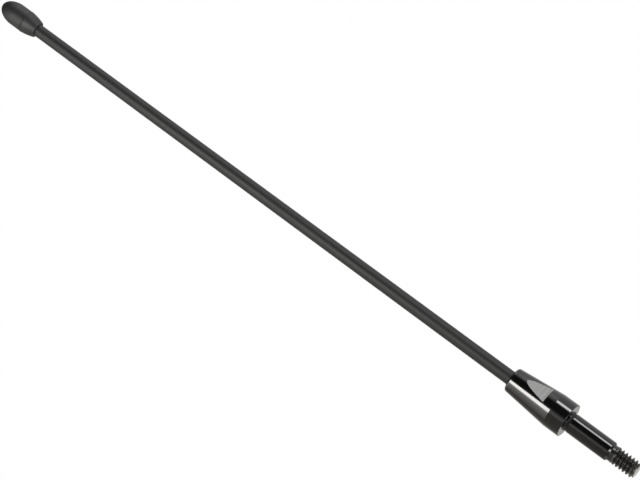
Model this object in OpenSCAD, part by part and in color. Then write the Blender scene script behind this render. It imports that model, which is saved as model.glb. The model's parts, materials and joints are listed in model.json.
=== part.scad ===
// Short screw-in mast aerial for a car, in millimetres.
// +Z runs up the mast. The origin is the centre of the seat face, where the
// turned ferrule lands on the car, so the stud is below zero and the mast above.

/* [Ferrule] */
// Diameter of the bar that the ferrule is turned from
ferrule_d = 9.5; // [8:0.1:12]
// Height of the straight band above the seat face
band_h = 4.6; // [3:0.1:8]
// Height of the cone above the band
cone_h = 13.45; // [11:0.05:20]
// Diameter of the cone at its top face
cone_top_d = 6.9; // [6.4:0.1:7.8]
// Radius of the rounded top edge
top_edge_r = 0.6; // [0.1:0.05:0.7]
// Width across the two spanner flats
flats_across = 7.6; // [7:0.1:8.4]
// Height of the foot of the flats above the seat face
flats_foot = 7.3; // [5:0.1:9]
// Depth of the mouth that takes the foot of the sleeve
mouth_depth = 4; // [3:0.1:5]
// Depth of the counterbore in the seat face that the shank is seated in
counterbore_depth = 1.2; // [0.6:0.1:2]
// Chamfer round the counterbore in the seat face
counterbore_edge = 0.2; // [0.1:0.05:0.5]

/* [Stud] */
// Diameter of the plain shank
shank_d = 5.4; // [5:0.1:7]
// Length of the shank from the seat face to its chamfer
shank_len = 13.1; // [6:0.1:25]
// Length of the full shank between the seat face and the undercut ring
undercut_drop = 0.3; // [0.1:0.05:1]
// Width of the undercut ring, its sloped sides included
undercut_w = 0.8; // [0.6:0.1:1.5]
// Depth of the undercut ring
undercut_depth = 0.2; // [0.1:0.05:0.25]
// Major diameter of the thread, number 10 with 24 threads to the inch
thread_d = 4.75; // [4.5:0.05:4.9]
// Diameter of the neck where the thread runs out
neck_d = 4.4; // [3.6:0.05:4.6]
// Length of the neck
neck_len = 0.7; // [0.3:0.1:2]
// Length of the thread, its end chamfer included
thread_len = 7.1; // [5:0.1:15]
// Size of the chamfer on the end of the thread
thread_chamfer = 0.45; // [0.2:0.05:0.7]
// Diameter of the spigot that is pressed into the ferrule
spigot_d = 4; // [3.6:0.1:4.6]
// Length of the spigot
spigot_len = 7; // [5:0.1:7.5]
// Size of the chamfer on the end of the spigot
spigot_chamfer = 0.3; // [0.1:0.05:0.4]

/* [Mast] */
// Length of the sleeve that is seen, from the ferrule to the lip of the cap
mast_len = 157.4; // [60:0.1:400]
// Wall of the sleeve at the ferrule
wall_foot = 0.57; // [0.5:0.01:0.8]
// Wall of the sleeve at its top end
wall_top = 0.32; // [0.3:0.01:0.5]
// Diameter of the glass fibre core rod
core_d = 1.8; // [1.4:0.1:2.2]
// Diameter of the aerial wire
wire_d = 0.35; // [0.2:0.05:0.4]
// Number of open turns of wire on the rod
open_turns = 48; // [10:1:80]
// Number of close turns at each end of the winding
close_turns = 3; // [1:1:5]
// Gap between neighbouring close turns
close_gap = 0.07; // [0.02:0.01:0.2]

/* [Contact bush] */
// Wall of the bush
bush_wall = 0.56; // [0.3:0.02:0.7]
// Thickness of its floor, which rests on the stud
bush_floor = 0.8; // [0.5:0.1:1]

/* [Tip cap] */
// Diameter of the cap at its barrel
cap_d = 6; // [5.4:0.1:8]
// Height of the narrowing skirt, from the lip to the parting ring
skirt_h = 3.75; // [3:0.05:5]
// How far the skirt bulges out of a straight cone
skirt_bulge = 0.1; // [0:0.02:0.2]
// Height of the straight barrel above the parting ring
barrel_h = 3.45; // [1:0.05:8]
// Height of the domed end
dome_h = 4.85; // [3:0.05:8]
// Diameter of the cap at its lip, above the rounded edge
lip_d = 4.6; // [4.3:0.1:5]
// Radius of the rounded edge of the lip
lip_edge_r = 0.4; // [0.1:0.05:0.5]
// Height that the parting ring stands proud
ring_proud = 0.05; // [0.02:0.01:0.15]
// Width of the parting ring
ring_w = 0.3; // [0.2:0.05:0.6]
// Depth of the socket that the mast is glued into
socket_depth = 6; // [4:0.1:7]

/* [Fits] */
// Gap on the radius between pieces that are pressed or glued together
fit_gap = 0.02; // [0.01:0.01:0.05]
// Gap on the radius round the foot of the sleeve in the ferrule's mouth
mouth_gap = 0.03; // [0.02:0.01:0.1]

/* [Hidden] */
$fn = 96;

// How far a cut runs past the face that it opens
over = 1;

// Heights
ferrule_h = band_h + cone_h;
mouth_z = ferrule_h - mouth_depth;
bush_bore_z = spigot_len + bush_floor;
cap_z = ferrule_h + mast_len;
mast_top_z = cap_z + socket_depth;
neck_z = -shank_len - (shank_d - neck_d) / 2;
thread_step_z = neck_z - neck_len;
thread_z = thread_step_z - (thread_d - neck_d) / 2;
stud_end_z = thread_z - thread_len;

// Wire winding, a helix of straight chords that clear the rod at their middles
wire_sides = 5;
chords_per_turn = 10;
slope_step = 0.05;
wire_r = wire_d / 2;
helix_r = (core_d / 2 + fit_gap + wire_r) / cos(180 / chords_per_turn);
close_pitch = wire_d + close_gap;
winding_foot_z = mouth_z + fit_gap + wire_r;
winding_top_z = mast_top_z - fit_gap - wire_r;
close_h = close_turns * close_pitch;
open_h = winding_top_z - winding_foot_z - 2 * close_h;
open_pitch = open_h / open_turns;
turns = open_turns + 2 * close_turns;

// Radii that follow from what goes inside
shank_seat_r = shank_d / 2 + fit_gap;
spigot_seat_r = spigot_d / 2 + fit_gap;
core_bore_r = core_d / 2 + fit_gap;
bush_r = core_bore_r + bush_wall;
sleeve_bore_r = helix_r + wire_r + fit_gap;
sleeve_foot_r = sleeve_bore_r + wall_foot;
sleeve_top_r = sleeve_bore_r + wall_top;
bush_seat_r = bush_r + fit_gap;
mouth_r = sleeve_foot_r + mouth_gap;

// Cap, and the number of steps in its round stretches
cap_r = cap_d / 2;
lip_r = lip_d / 2;
dome_steps = 14;
skirt_steps = 6;
lip_steps = 5;

// Radius of the sleeve at a height, by its even taper
function sleeve_r(z) =
    sleeve_foot_r + (sleeve_top_r - sleeve_foot_r) * (z - mouth_z) / (mast_top_z - mouth_z);

// Height of the wire after a number of turns, close at both ends and open between
function winding_z(turn) =
    winding_foot_z
    + min(turn, close_turns) * close_pitch
    + max(0, min(turn - close_turns, open_turns)) * open_pitch
    + max(0, turn - close_turns - open_turns) * close_pitch;

// Slope of the wire at a number of turns
function winding_slope(turn) =
    atan(
        (winding_z(turn + slope_step) - winding_z(turn - slope_step))
        / (2 * slope_step * 2 * PI * helix_r)
    );

// One ring of points round the wire, square to its run
function wire_ring(turn) = [
    for (side = [0 : wire_sides - 1])
        let (
            around = 360 * turn,
            slope = winding_slope(turn),
            angle = 180 + 360 * (side + 0.5) / wire_sides,
            out = wire_r * cos(angle),
            up = wire_r * sin(angle)
        )
        [
            (helix_r + out) * cos(around) + up * sin(around) * sin(slope),
            (helix_r + out) * sin(around) - up * cos(around) * sin(slope),
            winding_z(turn) + up * cos(slope)
        ]
];

// A quarter of an ellipse as points, from its side to its end
function quarter_ellipse(reach, half_width, from_z, steps) = [
    for (i = [1 : steps])
        [half_width * cos(90 * i / steps), from_z + reach * sin(90 * i / steps)]
];

// Outline of the ferrule, with its stepped bores from the seat face to the mouth
module ferrule_outline() {
    edge_z = ferrule_h - top_edge_r;
    difference() {
        union() {
            polygon([
                [0, 0],
                [ferrule_d / 2, 0],
                [ferrule_d / 2, band_h],
                [cone_top_d / 2, edge_z],
                [0, edge_z]
            ]);
            translate([0, edge_z - top_edge_r])
                square([cone_top_d / 2 - top_edge_r, 2 * top_edge_r]);
            translate([cone_top_d / 2 - top_edge_r, edge_z])
                circle(r = top_edge_r);
        }
        translate([0, -over])
            square([spigot_seat_r, spigot_len + over]);
        translate([0, -over])
            square([shank_seat_r, counterbore_depth + over]);
        polygon([
            [0, -over],
            [shank_seat_r + counterbore_edge + over, -over],
            [shank_seat_r, counterbore_edge],
            [0, counterbore_edge]
        ]);
        square([bush_seat_r, ferrule_h]);
        translate([0, mouth_z])
            square([mouth_r, mouth_depth + over]);
    }
}

// Turned ferrule with two opposed flats milled into its cone
module base_ferrule() {
    cutter_d = ferrule_d;
    color("#2c2c2e")
    difference() {
        rotate_extrude()
            ferrule_outline();
        for (side = [-1, 1])
            translate([side * (flats_across + cutter_d) / 2, 0, flats_foot + ferrule_h / 2])
                cube([cutter_d, 2 * cutter_d, ferrule_h], center = true);
    }
}

// Turned stud: spigot, shank with its undercut, neck and thread at its full diameter
module mounting_stud() {
    undercut_r = shank_d / 2 - undercut_depth;
    color("#1f1f21")
    rotate_extrude()
        polygon([
            [0, spigot_len],
            [spigot_d / 2 - spigot_chamfer, spigot_len],
            [spigot_d / 2, spigot_len - spigot_chamfer],
            [spigot_d / 2, counterbore_depth],
            [shank_d / 2, counterbore_depth],
            [shank_d / 2, -undercut_drop],
            [undercut_r, -undercut_drop - undercut_depth],
            [undercut_r, -undercut_drop - undercut_w + undercut_depth],
            [shank_d / 2, -undercut_drop - undercut_w],
            [shank_d / 2, -shank_len],
            [neck_d / 2, neck_z],
            [neck_d / 2, thread_step_z],
            [thread_d / 2, thread_z],
            [thread_d / 2, stud_end_z + thread_chamfer],
            [thread_d / 2 - thread_chamfer, stud_end_z],
            [0, stud_end_z]
        ]);
}

// Brass cup between the foot of the rod and the top of the stud
module contact_bush() {
    color("#b5943f")
    difference() {
        translate([0, 0, spigot_len])
            cylinder(r = bush_r, h = mouth_z - spigot_len);
        translate([0, 0, bush_bore_z])
            cylinder(r = core_bore_r, h = ferrule_h);
    }
}

// Glass fibre rod from the floor of the bush to the top of the sleeve
module core_rod() {
    color("#d8d2b8")
    translate([0, 0, bush_bore_z])
        cylinder(d = core_d, h = mast_top_z - bush_bore_z);
}

// Copper wire wound on the rod, one closed tube swept along the helix
module aerial_winding() {
    rings = turns * chords_per_turn;
    points = [
        for (i = [0 : rings])
            each wire_ring(i / chords_per_turn)
    ];
    walls = [
        for (i = [0 : rings - 1], side = [0 : wire_sides - 1])
            let (
                here = i * wire_sides + side,
                beside = i * wire_sides + (side + 1) % wire_sides
            )
            each [
                [here, beside, here + wire_sides],
                [beside, beside + wire_sides, here + wire_sides]
            ]
    ];
    first_end = [for (side = [wire_sides - 1 : -1 : 0]) side];
    last_end = [for (side = [0 : wire_sides - 1]) rings * wire_sides + side];
    color("#b87333")
    polyhedron(points = points, faces = concat(walls, [first_end, last_end]));
}

// Tapered jacket from the ferrule's mouth to the floor of the cap's socket
module mast_sleeve() {
    color("#3c3c3d")
    rotate_extrude()
        polygon([
            [sleeve_bore_r, mouth_z],
            [sleeve_foot_r, mouth_z],
            [sleeve_top_r, mast_top_z],
            [sleeve_bore_r, mast_top_z]
        ]);
}

// Outline of the cap from its lip: rounded edge, skirt, parting ring, barrel and dome
module cap_outline() {
    ring_z = cap_z + skirt_h;
    dome_z = ring_z + barrel_h;
    ring_side = ring_w / 3;
    lip_edge = [
        for (i = [0 : lip_steps - 1])
            let (angle = 90 * i / lip_steps)
            [lip_r - lip_edge_r * (1 - sin(angle)), cap_z + lip_edge_r * (1 - cos(angle))]
    ];
    skirt = [
        for (i = [0 : skirt_steps])
            let (up = i / skirt_steps)
            [
                lip_r + (cap_r - lip_r) * up + skirt_bulge * 4 * up * (1 - up),
                cap_z + lip_edge_r + (skirt_h - lip_edge_r) * up
            ]
    ];
    polygon(concat(
        [[0, cap_z]],
        lip_edge,
        skirt,
        [
            [cap_r + ring_proud, ring_z + ring_side],
            [cap_r + ring_proud, ring_z + ring_w - ring_side],
            [cap_r, ring_z + ring_w],
            [cap_r, dome_z]
        ],
        quarter_ellipse(dome_h, cap_r, dome_z, dome_steps)
    ));
}

// Moulded bulb with a tapered socket that fits the sleeve
module tip_cap() {
    color("#454546")
    rotate_extrude()
        difference() {
            cap_outline();
            polygon([
                [-over, cap_z - over],
                [sleeve_r(cap_z - over) + fit_gap, cap_z - over],
                [sleeve_r(mast_top_z) + fit_gap, mast_top_z],
                [-over, mast_top_z]
            ]);
        }
}

base_ferrule();
mounting_stud();
contact_bush();
core_rod();
aerial_winding();
mast_sleeve();
tip_cap();
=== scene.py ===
import json
import math

import bmesh
import bpy
from mathutils import Matrix, Vector


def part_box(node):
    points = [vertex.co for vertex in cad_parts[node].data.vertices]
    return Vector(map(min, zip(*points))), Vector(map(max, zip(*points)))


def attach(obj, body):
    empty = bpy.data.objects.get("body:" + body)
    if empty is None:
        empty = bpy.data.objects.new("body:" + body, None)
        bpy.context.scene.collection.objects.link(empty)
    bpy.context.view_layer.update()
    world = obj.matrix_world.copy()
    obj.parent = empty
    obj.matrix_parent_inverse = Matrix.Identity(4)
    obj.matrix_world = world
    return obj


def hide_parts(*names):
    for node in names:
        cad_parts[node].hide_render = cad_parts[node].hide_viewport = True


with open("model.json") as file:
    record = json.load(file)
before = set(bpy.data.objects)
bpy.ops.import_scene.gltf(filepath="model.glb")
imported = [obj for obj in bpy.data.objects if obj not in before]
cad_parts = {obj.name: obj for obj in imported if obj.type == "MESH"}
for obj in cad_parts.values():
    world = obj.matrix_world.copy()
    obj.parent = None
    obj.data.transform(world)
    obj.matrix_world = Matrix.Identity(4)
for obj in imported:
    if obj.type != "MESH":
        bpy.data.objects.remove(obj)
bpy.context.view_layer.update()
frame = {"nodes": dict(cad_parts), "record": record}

MM = 0.001


def box_mm(node):
    """Lowest and highest corner of a CAD node, in millimetres."""
    low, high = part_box(node)
    return low / MM, high / MM


# Sizes that the frame gives, in millimetres
mounts = {mount["name"]: mount for mount in frame["record"]["mounts"]}
FERRULE_R, _, FERRULE_H = box_mm("base_ferrule")[1]
STUD_END_Z = box_mm("mounting_stud")[0].z
SPIGOT_TOP_Z = box_mm("mounting_stud")[1].z
SLEEVE_FOOT_Z = box_mm("mast_sleeve")[0].z
SLEEVE_TOP_Z = box_mm("mast_sleeve")[1].z
CAP_Z = box_mm("tip_cap")[0].z
TIP_Z = box_mm("tip_cap")[1].z
FLAT_X = mounts["flat_a"]["pos_m"][0] / MM
SHANK_R = mounts["shank"]["dims"]["r_mm"]
THREAD_R = mounts["thread"]["dims"]["r_mm"]

# Ferrule, with the same sizes as its solid
BAND_H = 4.6
CONE_TOP_R = 3.45
TOP_EDGE_R = 0.6
FLATS_FOOT_Z = 7.3
MOUTH_R = 1.946
BUSH_SEAT_R = 1.5
SPIGOT_SEAT_R = 2.02
SHANK_SEAT_R = 2.72
COUNTERBORE_DEPTH = 1.2
COUNTERBORE_EDGE = 0.2
EDGE_BREAK = 0.06
SEAT_EDGE_BREAK = 0.14
FLAT_EDGE = 0.05

# The ferrule's material slots, and the bend from which an edge on its flats is shaded sharp
BLACK, MILLED, FACED = range(3)
MILLED_CREASE = math.radians(2)

# Stud, with the same sizes as its solid and the thread cut into it
SPIGOT_R = 2.0
SPIGOT_CHAMFER = 0.3
UNDERCUT_DROP = 0.3
UNDERCUT_W = 0.8
UNDERCUT_DEPTH = 0.2
SHANK_END_Z = -13.1
NECK_R = 2.2
NECK_LEN = 0.7
NECK_TOP_Z = SHANK_END_Z - (SHANK_R - NECK_R)
NECK_END_Z = NECK_TOP_Z - NECK_LEN
THREAD_CHAMFER = 0.45
PITCH = 25.4 / 24
THREAD_DEPTH = 0.62 * PITCH
CREST_Z = -18.19
CREST_SHARE = 0.125
ROOT_SHARE = 0.17
FLANK_ROUNDING = 0.05
RUN_OUT = 1.6

# The stud's material slot for its bare end
BARE_END = 1

# How far up from its end the thread is rubbed, how dull the neck and the crests are, how far below
# the crests the roots' dullness begins, and how rough the undercut is, where no polish reaches
WORN_LENGTH = 1.7
NECK_DULLNESS = 0.65
ROOT_DROP = 0.1
UNDERCUT_ROUGHNESS = 0.65

# Sleeve and cap, with the same sizes as their solids
SLEEVE_BORE_R = 1.346
SLEEVE_FOOT_R = 1.916
SLEEVE_TOP_R = 1.666
CAP_R = 3.0
SKIRT_H = 3.75
SKIRT_BULGE = 0.1
BARREL_H = 3.45
LIP_R = 2.3
LIP_EDGE_R = 0.4
RING_PROUD = 0.05
RING_W = 0.3
RING_GROOVE = 0.08
SOCKET_GAP = 0.02

# Camera, fitted to the photograph's edges: where it looks, from which side and how far off
AIM = Vector((-0.17, -0.42, 80.02)) * MM
CAMERA_SIDE = math.radians(31.5)
CAMERA_DROP = math.radians(15.215)
CAMERA_ROLL = math.radians(36.362)
CAMERA_DISTANCE = 1.0674
FOCAL_LENGTH = 234.45
SENSOR_WIDTH = 36.0

# Surroundings, in metres, and the tints of the warmer lights
FLOOR_Z = -2.2
FLOOR_SIZE = 60.0
AMBIENT = 0.6
FLAG_DISTANCE = 2.0
WARM = (1.0, 0.95, 0.87)
HALF_WARM = (1.0, 0.985, 0.95)

# The deepest and the palest tone of the blackened metals
DEEP_BLACK = (0.0024, 0.0024, 0.0026)
PALE_BLACK = (0.0056, 0.0054, 0.0052)

# Share of the height that the grain of the milled flats and of the glass fibres takes in, which
# draws it out along the mast
MILLED_STRETCH = 0.05
FIBRE_STRETCH = 0.02

# Faces round the mast's axis, and steps of the curves and of the long surfaces
SEGMENTS = 192
TOP_EDGE_STEPS = 12
SLEEVE_STEPS = 84
LIP_STEPS = 10
SKIRT_STEPS = 24
BARREL_STEPS = 8
DOME_STEPS = 40
FLAG_COLUMNS = 48

# Points nearer to each other than this, in metres, count as one
TOUCHING = 1e-7

UP = Vector((0, 0, 1))
TO_CAMERA = Vector((math.cos(CAMERA_SIDE), -math.sin(CAMERA_SIDE), 0))


# Outlines and meshes

def soften(corners, steps=4):
    """Outline points from corners given as (radius, height, rounding), each rounded by an arc."""
    points = []
    for i, (radius, height, rounding) in enumerate(corners):
        here = Vector((radius, height))
        if not rounding:
            points.append(here)
            continue
        before = (Vector(corners[i - 1][:2]) - here).normalized()
        after = (Vector(corners[(i + 1) % len(corners)][:2]) - here).normalized()
        half = before.angle(after) / 2
        centre = here + (before + after).normalized() * rounding / math.sin(half)
        start = (here + before * rounding / math.tan(half) - centre).normalized()
        end = (here + after * rounding / math.tan(half) - centre).normalized()
        for step in range(steps + 1):
            points.append(centre + start.slerp(end, step / steps) * rounding)
    return points


def quarter(steps):
    """The angles of a quarter turn in equal steps, from nothing to the whole of it."""
    return [math.pi / 2 * i / steps for i in range(steps + 1)]


def polar(radius, angle, height):
    """A point in metres from its distance to the axis, its angle and its height in millimetres."""
    return Vector((radius * math.cos(angle), radius * math.sin(angle), height)) * MM


def revolve(mesh, outline, closed=False):
    """Adds the surface that an outline sweeps round the mast's axis."""
    angles = [math.tau * i / SEGMENTS for i in range(SEGMENTS)]
    rings = []
    for radius, height in outline:
        if radius * MM < TOUCHING:
            rings.append([mesh.verts.new(polar(0, 0, height))])
        else:
            rings.append([mesh.verts.new(polar(radius, angle, height)) for angle in angles])
    pairs = list(zip(rings, rings[1:]))
    if closed:
        pairs.append((rings[-1], rings[0]))
    for first, second in pairs:
        for i in range(SEGMENTS):
            j = (i + 1) % SEGMENTS
            corners = [
                first[i % len(first)], first[j % len(first)],
                second[j % len(second)], second[i % len(second)]
            ]
            mesh.faces.new(dict.fromkeys(corners))


def object_from(mesh, name, materials, sharp_angle=None):
    """Turns a bmesh into an object of the scene, shaded smooth apart from its sharp edges."""
    bmesh.ops.recalc_face_normals(mesh, faces=mesh.faces)
    data = bpy.data.meshes.new(name)
    mesh.to_mesh(data)
    mesh.free()
    for material in materials:
        data.materials.append(material)
    data.shade_smooth()
    if sharp_angle:
        data.set_sharp_from_angle(angle=math.radians(sharp_angle))
    made = bpy.data.objects.new(name, data)
    bpy.context.scene.collection.objects.link(made)
    return made


def stand_for(piece, node):
    """Puts a piece in the place of a CAD node."""
    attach(piece, "root")
    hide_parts(node)


# Materials

def add(tree, kind, settings=None, **inputs):
    """Adds a shader node with its settings and inputs, given by name, or as i0, i1 by number.

    An input is a value, or a socket of another node, which is linked.
    """
    made = tree.nodes.new("ShaderNode" + kind)
    for name, value in (settings or {}).items():
        setattr(made, name, value)
    for name, value in inputs.items():
        numbered = name[0] == "i" and name[1:].isdigit()
        socket = made.inputs[int(name[1:]) if numbered else name.replace("_", " ")]
        if isinstance(value, bpy.types.NodeSocket):
            tree.links.new(value, socket)
        else:
            socket.default_value = value
    return made


def new_material(name):
    """A new material and its node tree, emptied."""
    material = bpy.data.materials.new(name)
    material.use_nodes = True
    material.node_tree.nodes.clear()
    return material, material.node_tree


def surface_material(name):
    """A new material, its node tree and the surface point in millimetres."""
    material, tree = new_material(name)
    coords = add(tree, "TexCoord")
    point = add(
        tree, "VectorMath", {"operation": "SCALE"}, Vector=coords.outputs["Object"], Scale=1 / MM
    )
    return material, tree, point.outputs["Vector"]


def finish_material(material, tree, shader):
    """Links a shader to a material's output, and gives the material back."""
    add(tree, "OutputMaterial", Surface=shader.outputs[0])
    return material


def calc(tree, operation, *values):
    """The result of one sum on numbers and sockets."""
    inputs = {f"i{i}": value for i, value in enumerate(values)}
    return add(tree, "Math", {"operation": operation}, **inputs).outputs["Value"]


def noise(tree, point, scale, detail=3.0):
    """Soft noise between 0 and 1, with its scale in cycles for each millimetre."""
    return add(
        tree, "TexNoise", Vector=point, Scale=scale, Detail=detail, Roughness=0.55
    ).outputs["Fac"]


def line_noise(tree, along, scale, detail=2.0):
    """Noise that changes in one direction alone, for the marks of a cutting tool."""
    return add(
        tree, "TexNoise", {"noise_dimensions": "1D"},
        W=along, Scale=scale, Detail=detail, Roughness=0.6
    ).outputs["Fac"]


def spread(tree, value, low, high):
    """A 0 to 1 value brought between two others."""
    return add(tree, "MapRange", Value=value, To_Min=low, To_Max=high).outputs["Result"]


def ramp(tree, value, start, end):
    """0 up to the start, 1 from the end on, and even between them."""
    return add(tree, "MapRange", Value=value, From_Min=start, From_Max=end).outputs["Result"]


def fade(tree, away, reach, core, level):
    """A level up to a share, the core, of a reach, which then rises smoothly to 1."""
    return add(
        tree, "MapRange", {"interpolation_type": "SMOOTHSTEP"}, Value=away,
        From_Min=reach * core, From_Max=reach, To_Min=level, To_Max=1.0
    ).outputs["Result"]


def mixed_colour(tree, factor, first, second):
    """A colour between two, by a factor."""
    made = add(tree, "Mix", {"data_type": "RGBA"})
    tree.links.new(factor, made.inputs[0])
    # The sockets for colours come after those for numbers and vectors
    for socket, colour in ((made.inputs[6], first), (made.inputs[7], second)):
        if isinstance(colour, bpy.types.NodeSocket):
            tree.links.new(colour, socket)
        else:
            socket.default_value = (*colour, 1)
    return made.outputs[2]


def axis_parts(tree, point):
    """Height along the mast and distance from its axis, in millimetres."""
    parts = add(tree, "SeparateXYZ", Vector=point)
    flat = add(tree, "CombineXYZ", X=parts.outputs["X"], Y=parts.outputs["Y"])
    radial = add(tree, "VectorMath", {"operation": "LENGTH"}, Vector=flat.outputs["Vector"])
    return parts.outputs["Z"], radial.outputs["Value"]


def stretched(tree, point, shares):
    """A point with each of its parts taken by its own share."""
    return add(
        tree, "VectorMath", {"operation": "MULTIPLY"}, i0=point, i1=shares
    ).outputs["Vector"]


def bump(tree, height, depth):
    """A bump of a depth in millimetres."""
    return add(tree, "Bump", Height=height, Distance=depth * MM, Strength=1.0).outputs["Normal"]


def anodised_black():
    """Turned aluminium, dyed black and sealed: glossy, with faint tool lines and handling marks."""
    material, tree, point = surface_material("anodised_black")
    height, radial = axis_parts(tree, point)
    lines = line_noise(tree, calc(tree, "ADD", height, radial), 9.0)
    smudge = noise(tree, point, 0.45, 5.0)
    colour = mixed_colour(tree, smudge, DEEP_BLACK, PALE_BLACK)
    roughness = calc(tree, "MULTIPLY_ADD", lines, 0.04, spread(tree, smudge, 0.04, 0.09))
    shader = add(
        tree, "BsdfPrincipled", Base_Color=colour, Roughness=roughness, IOR=1.6,
        Normal=bump(tree, lines, 0.0003)
    )
    return finish_material(material, tree, shader)


def milled_bare():
    """Bare aluminium, milled in straight passes along the mast on the flats."""
    material, tree, point = surface_material("milled_bare")
    parts = add(tree, "SeparateXYZ", Vector=point)
    marks = noise(tree, stretched(tree, point, (0, 1, MILLED_STRETCH)), 8.0)
    steps = line_noise(tree, parts.outputs["Z"], 1.6, 3.0)
    both = calc(tree, "MULTIPLY_ADD", steps, 0.5, marks)
    shade = ramp(tree, both, 0.45, 1.05)
    colour = mixed_colour(tree, shade, (0.235, 0.235, 0.233), (0.37, 0.37, 0.367))
    shader = add(
        tree, "BsdfPrincipled", Base_Color=colour, Metallic=0.4,
        Roughness=spread(tree, marks, 0.52, 0.64), Normal=bump(tree, both, 0.0015)
    )
    return finish_material(material, tree, shader)


def faced_bare():
    """Bare aluminium, faced in the lathe, with fine rings round the mast's axis."""
    material, tree, point = surface_material("faced_bare")
    _, radial = axis_parts(tree, point)
    rings = line_noise(tree, radial, 11.0)
    cloud = noise(tree, point, 0.7)
    colour = mixed_colour(tree, cloud, (0.46, 0.46, 0.457), (0.54, 0.54, 0.537))
    shader = add(
        tree, "BsdfPrincipled", Base_Color=colour, Metallic=1.0,
        Roughness=spread(tree, rings, 0.1, 0.2), Normal=bump(tree, rings, 0.0006)
    )
    return finish_material(material, tree, shader)


def oiled_black():
    """Blackened, oiled steel: glossy shank, dull undercut, and a dull thread rubbed brownish."""
    material, tree, point = surface_material("oiled_black")
    height, radial = axis_parts(tree, point)
    lines = line_noise(tree, height, 10.0)
    smudge = noise(tree, point, 0.6, 4.0)
    black = mixed_colour(tree, smudge, DEEP_BLACK, PALE_BLACK)
    in_thread = ramp(tree, height, SHANK_END_Z, SHANK_END_Z - NECK_LEN)
    brown_patch = calc(tree, "MULTIPLY", noise(tree, point, 1.6), in_thread)
    brown_share = calc(tree, "MULTIPLY", brown_patch, 0.6)
    brown = mixed_colour(tree, brown_share, black, (0.03, 0.021, 0.014))
    near_end = ramp(tree, height, STUD_END_Z + WORN_LENGTH, STUD_END_Z + WORN_LENGTH / 2)
    rubbed = ramp(tree, noise(tree, point, 1.1, 4.0), 0.38, 0.58)
    worn = calc(tree, "MULTIPLY", near_end, rubbed)
    colour = mixed_colour(tree, worn, brown, (0.085, 0.075, 0.06))
    root = ramp(tree, radial, THREAD_R - ROOT_DROP, THREAD_R - THREAD_DEPTH)
    dullness = calc(tree, "MULTIPLY", calc(tree, "MAXIMUM", root, NECK_DULLNESS), in_thread)
    in_undercut = calc(
        tree, "COMPARE", height, -UNDERCUT_DROP - UNDERCUT_W / 2, UNDERCUT_W / 2
    )
    roughness = calc(
        tree, "MAXIMUM",
        spread(tree, dullness, 0.12, 0.36), spread(tree, in_undercut, 0.0, UNDERCUT_ROUGHNESS)
    )
    shader = add(
        tree, "BsdfPrincipled", Base_Color=colour, Roughness=roughness, IOR=1.55,
        Normal=bump(tree, lines, 0.0003)
    )
    return finish_material(material, tree, shader)


def bare_steel():
    """Steel cut bare on the end of the thread, with the rings that parting off leaves."""
    material, tree, point = surface_material("bare_steel")
    _, radial = axis_parts(tree, point)
    rings = line_noise(tree, radial, 8.0)
    colour = mixed_colour(tree, noise(tree, point, 1.2), (0.6, 0.595, 0.58), (0.8, 0.795, 0.785))
    shader = add(
        tree, "BsdfPrincipled", Base_Color=colour, Metallic=1.0,
        Roughness=spread(tree, rings, 0.25, 0.42), Normal=bump(tree, rings, 0.002)
    )
    return finish_material(material, tree, shader)


def rubber(name, tone, shine, dullness, grain_scale, grain_depth, stretch):
    """Matt black rubber with a fine grain, drawn out along the mast by the stretch."""
    material, tree, point = surface_material(name)
    drawn = stretched(tree, point, (1, 1, 1 / stretch))
    grain = noise(tree, drawn, grain_scale)
    bloom = noise(tree, drawn, 0.5, 4.0)
    colour = mixed_colour(
        tree, bloom,
        tuple(tone * v for v in (0.8, 0.8, 0.81)), tuple(tone * v for v in (1.25, 1.25, 1.22))
    )
    shader = add(
        tree, "BsdfPrincipled", Base_Color=colour, Roughness=spread(tree, bloom, *dullness),
        Specular_IOR_Level=shine, Normal=bump(tree, grain, grain_depth)
    )
    return finish_material(material, tree, shader)


def inner_metal(name, dark, bright, roughness):
    """Plain metal of a piece inside the aerial, with soft tarnish."""
    material, tree, point = surface_material(name)
    colour = mixed_colour(tree, noise(tree, point, 0.9, 4.0), dark, bright)
    shader = add(
        tree, "BsdfPrincipled", Base_Color=colour, Metallic=1.0,
        Roughness=spread(tree, noise(tree, point, 3.0), roughness - 0.06, roughness + 0.08)
    )
    return finish_material(material, tree, shader)


def glass_fibre():
    """Resin and glass drawn into a rod, with its fibres along it."""
    material, tree, point = surface_material("glass_fibre")
    fibres = noise(tree, stretched(tree, point, (1, 1, FIBRE_STRETCH)), 14.0, 4.0)
    colour = mixed_colour(tree, fibres, (0.62, 0.58, 0.42), (0.8, 0.77, 0.62))
    shader = add(
        tree, "BsdfPrincipled", Base_Color=colour, Roughness=spread(tree, fibres, 0.28, 0.45),
        Normal=bump(tree, fibres, 0.004)
    )
    return finish_material(material, tree, shader)


# Pieces

def flat_cutter():
    """Two blocks that mill the spanner flats, one on each side."""
    mesh = bmesh.new()
    for side in (-1, 1):
        centre = Vector((side * (FLAT_X + FERRULE_R / 2), 0, FLATS_FOOT_Z + FERRULE_H / 2)) * MM
        size = Vector((FERRULE_R, 4 * FERRULE_R, FERRULE_H)) * MM
        bmesh.ops.create_cube(mesh, size=1, matrix=Matrix.LocRotScale(centre, None, size))
    for face in mesh.faces:
        face.material_index = MILLED
    # Empty slots, as many as the ferrule has, so that the faces it leaves keep their slot number
    return object_from(mesh, "flat_cutter", [None, None, None])


def cut_flats(body, cutter):
    """Takes the cutter out of the body and removes it."""
    modifier = body.modifiers.new("flats", "BOOLEAN")
    modifier.operation = "DIFFERENCE"
    modifier.solver = "EXACT"
    modifier.object = cutter
    depsgraph = bpy.context.evaluated_depsgraph_get()
    cut = bpy.data.meshes.new_from_object(body.evaluated_get(depsgraph))
    body.modifiers.clear()
    body.data = cut
    bpy.data.objects.remove(cutter)


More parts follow.
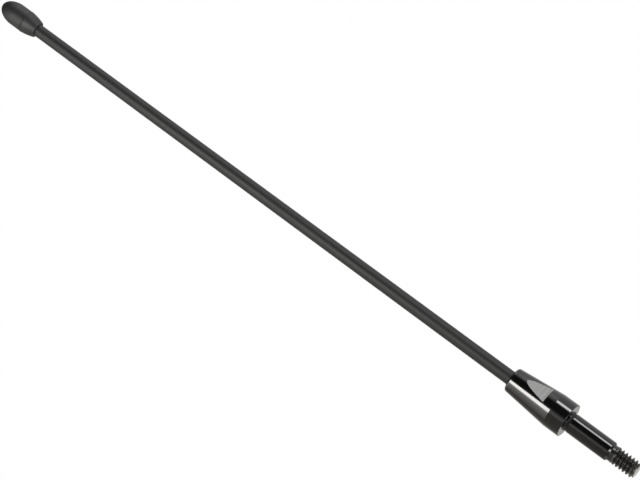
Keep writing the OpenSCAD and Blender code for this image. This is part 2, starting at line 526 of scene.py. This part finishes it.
def break_flat_edges(body):
    """Gives the flats' edges a thin bare bevel, and keeps their shading apart from the cone's."""
    mesh = bmesh.new()
    mesh.from_mesh(body.data)
    rim = [
        edge for edge in mesh.edges
        if len(edge.link_faces) == 2
        and {face.material_index for face in edge.link_faces} == {BLACK, MILLED}
        and max(vertex.co.z for vertex in edge.verts) > FLATS_FOOT_Z * MM - FLAT_EDGE * MM
    ]
    bmesh.ops.bevel(
        mesh, geom=rim, offset=FLAT_EDGE * MM, offset_type="OFFSET", segments=1, profile=0.5,
        affect="EDGES", material=MILLED, clamp_overlap=True
    )
    for edge in mesh.edges:
        kinds = {face.material_index for face in edge.link_faces}
        if len(kinds) > 1:
            edge.smooth = False
        elif kinds == {MILLED} and edge.calc_face_angle(0) > MILLED_CREASE:
            edge.smooth = False
    mesh.to_mesh(body.data)
    mesh.free()


def ferrule(materials):
    """The turned ferrule: its outline and bores swept round, and two flats milled into the cone."""
    mesh = bmesh.new()
    top_edge = [
        (
            CONE_TOP_R - TOP_EDGE_R * (1 - math.cos(turn)),
            FERRULE_H - TOP_EDGE_R * (1 - math.sin(turn)), 0
        )
        for turn in quarter(TOP_EDGE_STEPS)
    ]
    outline = soften([
        (SHANK_SEAT_R + COUNTERBORE_EDGE, 0, 0),
        (FERRULE_R, 0, SEAT_EDGE_BREAK),
        (FERRULE_R, BAND_H, EDGE_BREAK),
        *top_edge,
        (MOUTH_R + EDGE_BREAK, FERRULE_H, 0),
        (MOUTH_R, FERRULE_H - EDGE_BREAK, 0),
        (MOUTH_R, SLEEVE_FOOT_Z, 0),
        (BUSH_SEAT_R, SLEEVE_FOOT_Z, 0),
        (BUSH_SEAT_R, SPIGOT_TOP_Z, 0),
        (SPIGOT_SEAT_R, SPIGOT_TOP_Z, 0),
        (SPIGOT_SEAT_R, COUNTERBORE_DEPTH, 0),
        (SHANK_SEAT_R, COUNTERBORE_DEPTH, 0),
        (SHANK_SEAT_R, COUNTERBORE_EDGE, 0),
    ], steps=6)
    revolve(mesh, outline, closed=True)
    for face in mesh.faces:
        if all(abs(vertex.co.z) < TOUCHING for vertex in face.verts):
            face.material_index = FACED
    body = object_from(mesh, "ferrule", materials, sharp_angle=28)
    cut_flats(body, flat_cutter())
    break_flat_edges(body)
    stand_for(body, "base_ferrule")


def envelope(height):
    """Radius of the stud without its grooves, from the neck to the chamfered end."""
    return min(
        THREAD_R,
        NECK_R + max(0, NECK_END_Z - height),
        THREAD_R - THREAD_CHAMFER + height - STUD_END_Z
    )


def eased(value, rounding):
    """The value held between 0 and 1, with both bends rounded."""
    if value > 0.5:
        return 1 - eased(1 - value, rounding)
    if value < -rounding:
        return 0
    if value < rounding:
        return (value + rounding) ** 2 / (4 * rounding)
    return value


def thread_radius(angle, height):
    """Radius of the right-hand thread at an angle and a height."""
    turn = ((height - CREST_Z) / PITCH - angle / math.tau) % 1
    down = (2 * min(turn, 1 - turn) - CREST_SHARE) / (1 - CREST_SHARE - ROOT_SHARE)
    run = min(1, max(0, (NECK_END_Z - height) / RUN_OUT))
    depth = THREAD_DEPTH * eased(down, FLANK_ROUNDING) * run * run * (3 - 2 * run)
    return min(THREAD_R - depth, envelope(height))


def thread_rows():
    """Places of the rows of points over one pitch, from crest to crest, closest at the bends."""
    span = 1 - CREST_SHARE - ROOT_SHARE
    bends = [
        0, *(CREST_SHARE + span * share for share in (-FLANK_ROUNDING, 0, FLANK_ROUNDING)),
        CREST_SHARE + span / 2,
        *(1 - ROOT_SHARE + span * share for share in (-FLANK_ROUNDING, 0, FLANK_ROUNDING)), 1
    ]
    down = [bend / 2 for bend in bends]
    return down + [1 - place for place in reversed(down[1:-1])]


def cut_thread(mesh):
    """Adds the threaded end below the neck, with its rows of points running along the helix."""
    first = math.floor((STUD_END_Z - CREST_Z) / PITCH) - 1
    last = math.ceil((NECK_END_Z - CREST_Z) / PITCH) + 1
    rows = thread_rows()
    grid = []
    for start in [pitch + row for pitch in range(first, last + 1) for row in rows]:
        line = []
        for i in range(SEGMENTS):
            angle = math.tau * i / SEGMENTS
            height = CREST_Z + PITCH * (start + i / SEGMENTS)
            height = min(NECK_END_Z, max(STUD_END_Z, height))
            line.append(mesh.verts.new(polar(thread_radius(angle, height), angle, height)))
        grid.append(line)
    for row in range(len(grid) - len(rows) - 1):
        for i in range(SEGMENTS):
            j = (i + 1) % SEGMENTS
            # After a whole turn, a row goes on as the one that starts a pitch further up
            onward = row if j else row + len(rows)
            mesh.faces.new((grid[row][i], grid[onward][j], grid[onward + 1][j], grid[row + 1][i]))


def close_end(mesh):
    """Welds the rows that meet at the ends of the thread and fills the end face with bare metal."""
    bmesh.ops.remove_doubles(mesh, verts=mesh.verts, dist=TOUCHING)
    bmesh.ops.dissolve_degenerate(mesh, dist=TOUCHING, edges=mesh.edges)
    loose = [vertex for vertex in mesh.verts if not vertex.link_faces]
    bmesh.ops.delete(mesh, geom=loose, context="VERTS")
    rim = [
        vertex for vertex in mesh.verts
        if vertex.is_boundary and abs(vertex.co.z - STUD_END_Z * MM) < TOUCHING
    ]
    rim.sort(key=lambda vertex: math.atan2(vertex.co.y, vertex.co.x))
    mesh.faces.new(rim).material_index = BARE_END


def stud(materials):
    """The turned stud: spigot, shank with its undercut, neck and the cut thread."""
    mesh = bmesh.new()
    outline = soften([
        (0, SPIGOT_TOP_Z, 0),
        (SPIGOT_R - SPIGOT_CHAMFER, SPIGOT_TOP_Z, 0),
        (SPIGOT_R, SPIGOT_TOP_Z - SPIGOT_CHAMFER, 0),
        (SPIGOT_R, COUNTERBORE_DEPTH, 0),
        (SHANK_R, COUNTERBORE_DEPTH, 0),
        (SHANK_R, -UNDERCUT_DROP, 0.03),
        (SHANK_R - UNDERCUT_DEPTH, -UNDERCUT_DROP - UNDERCUT_DEPTH, 0.06),
        (SHANK_R - UNDERCUT_DEPTH, -UNDERCUT_DROP - UNDERCUT_W + UNDERCUT_DEPTH, 0.06),
        (SHANK_R, -UNDERCUT_DROP - UNDERCUT_W, 0.03),
        (SHANK_R, SHANK_END_Z, 0.05),
        (NECK_R, NECK_TOP_Z, 0.08),
        (NECK_R, NECK_END_Z, 0),
    ])
    revolve(mesh, outline)
    cut_thread(mesh)
    close_end(mesh)
    body = object_from(mesh, "stud", materials, sharp_angle=35)
    stand_for(body, "mounting_stud")


def sleeve_r(height):
    """Outer radius of the tapered sleeve at a height."""
    share = (height - SLEEVE_FOOT_Z) / (SLEEVE_TOP_Z - SLEEVE_FOOT_Z)
    return SLEEVE_FOOT_R + (SLEEVE_TOP_R - SLEEVE_FOOT_R) * share


def sleeve(material):
    """The tapered jacket, with rings close enough together to keep its faces short."""
    mesh = bmesh.new()
    length = SLEEVE_TOP_Z - SLEEVE_FOOT_Z
    heights = [SLEEVE_FOOT_Z + length * i / SLEEVE_STEPS for i in range(SLEEVE_STEPS + 1)]
    outside = [Vector((sleeve_r(height), height)) for height in heights]
    inside = [Vector((SLEEVE_BORE_R, SLEEVE_TOP_Z)), Vector((SLEEVE_BORE_R, SLEEVE_FOOT_Z))]
    revolve(mesh, outside + inside, closed=True)
    body = object_from(mesh, "sleeve", [material], sharp_angle=35)
    stand_for(body, "mast_sleeve")


def cap(material):
    """The moulded bulb: socket, lip, bulging skirt, parting ring with its groove, barrel, dome."""
    mesh = bmesh.new()
    ring_z = CAP_Z + SKIRT_H
    barrel_z = ring_z + RING_W * 1.5
    dome_z = ring_z + BARREL_H
    socket = [
        Vector((0, SLEEVE_TOP_Z)),
        Vector((sleeve_r(SLEEVE_TOP_Z) + SOCKET_GAP, SLEEVE_TOP_Z)),
        Vector((sleeve_r(CAP_Z) + SOCKET_GAP, CAP_Z)),
    ]
    lip = [
        Vector((
            LIP_R - LIP_EDGE_R * (1 - math.sin(turn)), CAP_Z + LIP_EDGE_R * (1 - math.cos(turn))
        ))
        for turn in quarter(LIP_STEPS)[:-1]
    ]
    skirt_low = CAP_Z + LIP_EDGE_R
    skirt = [
        Vector((
            LIP_R + (CAP_R - LIP_R) * up + SKIRT_BULGE * 4 * up * (1 - up),
            skirt_low + (ring_z - skirt_low) * up
        ))
        for up in (i / SKIRT_STEPS for i in range(SKIRT_STEPS + 1))
    ]
    # The first and the last corner belong to the skirt and the barrel, and only guide the arcs
    ring = soften([
        (CAP_R, ring_z, 0),
        (CAP_R + RING_PROUD, ring_z + RING_W / 3, 0.04),
        (CAP_R + RING_PROUD, ring_z + RING_W * 0.67, 0.02),
        (CAP_R - RING_GROOVE, ring_z + RING_W * 0.9, 0.03),
        (CAP_R - RING_GROOVE, ring_z + RING_W * 1.1, 0.03),
        (CAP_R, barrel_z, 0.03),
        (CAP_R, dome_z, 0),
    ], steps=3)[1:-1]
    barrel = [
        Vector((CAP_R, barrel_z + (dome_z - barrel_z) * i / BARREL_STEPS))
        for i in range(1, BARREL_STEPS + 1)
    ]
    dome = [
        Vector((CAP_R * math.cos(turn), dome_z + (TIP_Z - dome_z) * math.sin(turn)))
        for turn in quarter(DOME_STEPS)[1:]
    ]
    revolve(mesh, socket + lip + skirt + ring + barrel + dome)
    body = object_from(mesh, "cap", [material], sharp_angle=40)
    stand_for(body, "tip_cap")


def dress_inner_pieces():
    """Gives the CAD nodes that stay, all inside the aerial, their materials."""
    looks = {
        "contact_bush": inner_metal("brass", (0.55, 0.4, 0.14), (0.72, 0.56, 0.25), 0.32),
        "core_rod": glass_fibre(),
        "aerial_winding": inner_metal("copper", (0.5, 0.2, 0.09), (0.74, 0.38, 0.2), 0.3),
    }
    for name, material in looks.items():
        data = frame["nodes"][name].data
        data.materials.clear()
        data.materials.append(material)


# Camera, light and surroundings

def place_camera():
    """Sets the camera where the photograph was taken from."""
    back = math.cos(CAMERA_DROP) * TO_CAMERA - math.sin(CAMERA_DROP) * UP
    along = math.cos(CAMERA_DROP) * UP + math.sin(CAMERA_DROP) * TO_CAMERA
    side = back.cross(along)
    right = -math.cos(CAMERA_ROLL) * along - math.sin(CAMERA_ROLL) * side
    top = math.sin(CAMERA_ROLL) * along - math.cos(CAMERA_ROLL) * side
    data = bpy.data.cameras.new("camera")
    data.lens = FOCAL_LENGTH
    data.sensor_width = SENSOR_WIDTH
    data.clip_start = 0.05
    data.clip_end = 50
    camera = bpy.data.objects.new("camera", data)
    camera.matrix_world = Matrix.LocRotScale(
        AIM + back * CAMERA_DISTANCE, Matrix((right, top, back)).transposed(), None
    )
    bpy.context.scene.collection.objects.link(camera)
    bpy.context.scene.camera = camera


def facing(side, rise, distance, middle):
    """Place and turn of a panel round a point of the axis, in degrees from the camera's side."""
    outward = Matrix.Rotation(math.radians(side), 3, "Z") @ TO_CAMERA
    outward = outward * math.cos(math.radians(rise)) + UP * math.sin(math.radians(rise))
    return UP * middle + outward * distance, outward.to_track_quat("Z", "Y")


def softbox(
    name, side, distance, middle, size, radiance, rise=0, seen_by=("glossy",), tint=(1, 1, 1)
):
    """A flat area light that faces a point of the axis and is seen only by these kinds of ray."""
    data = bpy.data.lights.new(name, "AREA")
    data.shape = "RECTANGLE"
    data.size, data.size_y = size
    data.energy = radiance * math.pi * data.size * data.size_y
    data.color = tint
    light = bpy.data.objects.new(name, data)
    place, turn = facing(side, rise, distance, middle)
    light.matrix_world = Matrix.LocRotScale(place, turn, None)
    for ray in ("camera", "diffuse", "glossy", "transmission", "volume_scatter"):
        setattr(light, "visible_" + ray, ray in seen_by)
    bpy.context.scene.collection.objects.link(light)


def gloss_panel(mesh, name, material):
    """Adds to the scene a glowing panel that only gloss sees, and that casts no light of its own.
    """
    material.cycles.emission_sampling = "NONE"
    panel = object_from(mesh, name, [material])
    for ray in ("camera", "diffuse", "transmission", "volume_scatter", "shadow"):
        setattr(panel, "visible_" + ray, False)
    return panel


def flag(name, side, reach, low, high, level, core, edge=0.8, tint=(1, 1, 1)):
    """A curved grey panel round the mast for the gloss, fading to white at its edges.

    The side, its reach to both sides and the rise of its low and high edge are in degrees.
    """
    bottom, top = (FLAG_DISTANCE * math.tan(math.radians(rise)) for rise in (low, high))
    material, tree = new_material(name)
    parts = add(tree, "SeparateXYZ", Vector=add(tree, "TexCoord").outputs["Object"])
    angle = calc(tree, "ARCTAN2", parts.outputs["Y"], parts.outputs["X"])
    lift = calc(tree, "SUBTRACT", parts.outputs["Z"], (top + bottom) / 2)
    strength = calc(
        tree, "MAXIMUM",
        fade(tree, calc(tree, "ABSOLUTE", angle), math.radians(reach), core, level),
        fade(tree, calc(tree, "ABSOLUTE", lift), (top - bottom) / 2, edge, level)
    )
    finish_material(material, tree, add(tree, "Emission", Color=(*tint, 1), Strength=strength))
    mesh = bmesh.new()
    turns = [math.radians(reach) * (2 * i / FLAG_COLUMNS - 1) for i in range(FLAG_COLUMNS + 1)]
    lower, upper = (
        [
            mesh.verts.new((FLAG_DISTANCE * math.cos(turn), FLAG_DISTANCE * math.sin(turn), height))
            for turn in turns
        ]
        for height in (bottom, top)
    )
    for i in range(FLAG_COLUMNS):
        mesh.faces.new((lower[i], lower[i + 1], upper[i + 1], upper[i]))
    gloss_panel(mesh, name, material).rotation_euler.z = math.radians(side) - CAMERA_SIDE


def level_flag(name, height, reach, level):
    """A level round panel above or below the mast for the gloss, fading to white at its rim."""
    material, tree = new_material(name)
    coords = add(tree, "TexCoord")
    away = add(tree, "VectorMath", {"operation": "LENGTH"}, Vector=coords.outputs["Object"])
    strength = fade(tree, away.outputs["Value"], reach, core=0.7, level=level)
    finish_material(material, tree, add(tree, "Emission", Strength=strength))
    mesh = bmesh.new()
    bmesh.ops.create_circle(mesh, cap_ends=True, segments=FLAG_COLUMNS, radius=reach)
    gloss_panel(mesh, name, material).location.z = height


def seen_directly(tree):
    """1 for camera, glossy and transmission rays, and 0 for the others."""
    path = add(tree, "LightPath")
    direct = calc(
        tree, "MAXIMUM", path.outputs["Is Camera Ray"], path.outputs["Is Glossy Ray"]
    )
    return calc(tree, "MAXIMUM", direct, path.outputs["Is Transmission Ray"])


def white_room():
    """White surroundings where they are seen, and a plain soft light from them on matt surfaces."""
    world = bpy.data.worlds.new("room")
    world.use_nodes = True
    tree = world.node_tree
    tree.nodes.clear()
    ambient = add(tree, "Background", Color=(1, 1, 1, 1), Strength=AMBIENT)
    white = add(tree, "Background", Color=(1, 1, 1, 1), Strength=1.0)
    mix = add(
        tree, "MixShader", i0=seen_directly(tree), i1=ambient.outputs[0], i2=white.outputs[0]
    )
    add(tree, "OutputWorld", Surface=mix.outputs[0])
    world.cycles.sampling_method = "NONE"
    bpy.context.scene.world = world


def pale_floor():
    """A plain pale floor well below the aerial, which floats above it with nothing holding its
    thread.
    """
    material, tree = new_material("floor")
    matt = add(tree, "BsdfDiffuse", Color=(0.85, 0.85, 0.85, 1))
    glow = add(
        tree, "Emission", Color=(1, 1, 1, 1), Strength=spread(tree, seen_directly(tree), 0.0, 0.5)
    )
    both = add(tree, "AddShader", i0=matt.outputs[0], i1=glow.outputs[0])
    finish_material(material, tree, both)
    material.cycles.emission_sampling = "NONE"
    mesh = bmesh.new()
    bmesh.ops.create_grid(mesh, x_segments=1, y_segments=1, size=FLOOR_SIZE / 2)
    floor = object_from(mesh, "floor", [material])
    floor.location.z = FLOOR_Z


def light_scene():
    """Soft boxes for the streaks on the gloss, front and rear, a key, a fill and grey panels."""
    softbox("upper_strip", side=58, distance=0.35, middle=0.05, size=(0.074, 0.115), radiance=9.2)
    softbox("upper_edge", side=51, distance=0.35, middle=0.05, size=(0.05, 0.115), radiance=3.6)
    softbox(
        "lower_strip", side=-23, distance=0.3, middle=0.162, size=(0.112, 0.084), radiance=16,
        tint=HALF_WARM
    )
    softbox(
        "lower_edge", side=-37, distance=0.3, middle=0.162, size=(0.04, 0.084), radiance=4.5,
        tint=HALF_WARM
    )
    softbox("tip_box", side=-40, distance=0.3, middle=0.25, size=(0.16, 0.13), radiance=3.0)
    softbox("tip_side", side=75, distance=0.4, middle=0.28, size=(0.3, 0.2), radiance=1.8)
    softbox("mast_box", side=-68, distance=0.5, middle=0.34, size=(0.5, 0.26), radiance=1.4)
    softbox("left_panel", side=-70, distance=1.5, middle=1.15, size=(1.0, 1.2), radiance=0.65)
    softbox("right_panel", side=84, distance=1.5, middle=1.15, size=(0.9, 1.2), radiance=0.5)
    softbox("under_box", side=12, rise=-76, distance=0.5, middle=0, size=(0.13, 0.2), radiance=9)
    softbox("rear_strip", side=112, distance=0.4, middle=-0.07, size=(0.07, 0.17), radiance=3.2)
    softbox("rear_edge", side=-118, distance=0.4, middle=-0.07, size=(0.09, 0.17), radiance=2.2)
    softbox(
        "key", side=-75, distance=1.2, middle=0.5, size=(0.9, 1.1), radiance=1.4,
        seen_by=("diffuse",)
    )
    softbox(
        "fill", side=100, distance=1.2, middle=0.5, size=(0.9, 1.1), radiance=1.2,
        seen_by=("diffuse",)
    )
    flag("camera_flag", side=20, reach=44, low=-35, high=65, level=0.035, core=0.4)
    flag(
        "left_flag", side=-88, reach=62, low=-35, high=21, level=0.42, core=0.84, edge=0.93,
        tint=WARM
    )
    flag("left_top_flag", side=-121, reach=30, low=21, high=45, level=0.5, core=0.7, tint=WARM)
    flag("right_flag", side=110, reach=42, low=-35, high=20, level=0.85, core=0.8, edge=0.93)
    flag("back_flag", side=180, reach=55, low=22, high=80, level=0.2, core=0.6, edge=0.85)
    flag(
        "back_low_flag", side=180, reach=65, low=-34, high=-5, level=0.5, core=0.8,
        tint=(1, 0.985, 0.96)
    )
    flag("right_low_flag", side=98, reach=48, low=-34, high=-4, level=0.35, core=0.8)
    level_flag("floor_flag", height=-1.5, reach=1.5, level=0.3)
    level_flag("ceiling_flag", height=1.7, reach=1.9, level=0.07)


bpy.context.scene.view_settings.view_transform = "Standard"
dress_inner_pieces()
ferrule([anodised_black(), milled_bare(), faced_bare()])
stud([oiled_black(), bare_steel()])
sleeve(rubber(
    "sleeve_rubber", tone=0.017, shine=0.36, dullness=(0.46, 0.58),
    grain_scale=6.0, grain_depth=0.004, stretch=8.0
))
cap(rubber(
    "cap_rubber", tone=0.019, shine=0.43, dullness=(0.44, 0.54),
    grain_scale=6.0, grain_depth=0.005, stretch=1.0
))
white_room()
pale_floor()
light_scene()
place_camera()
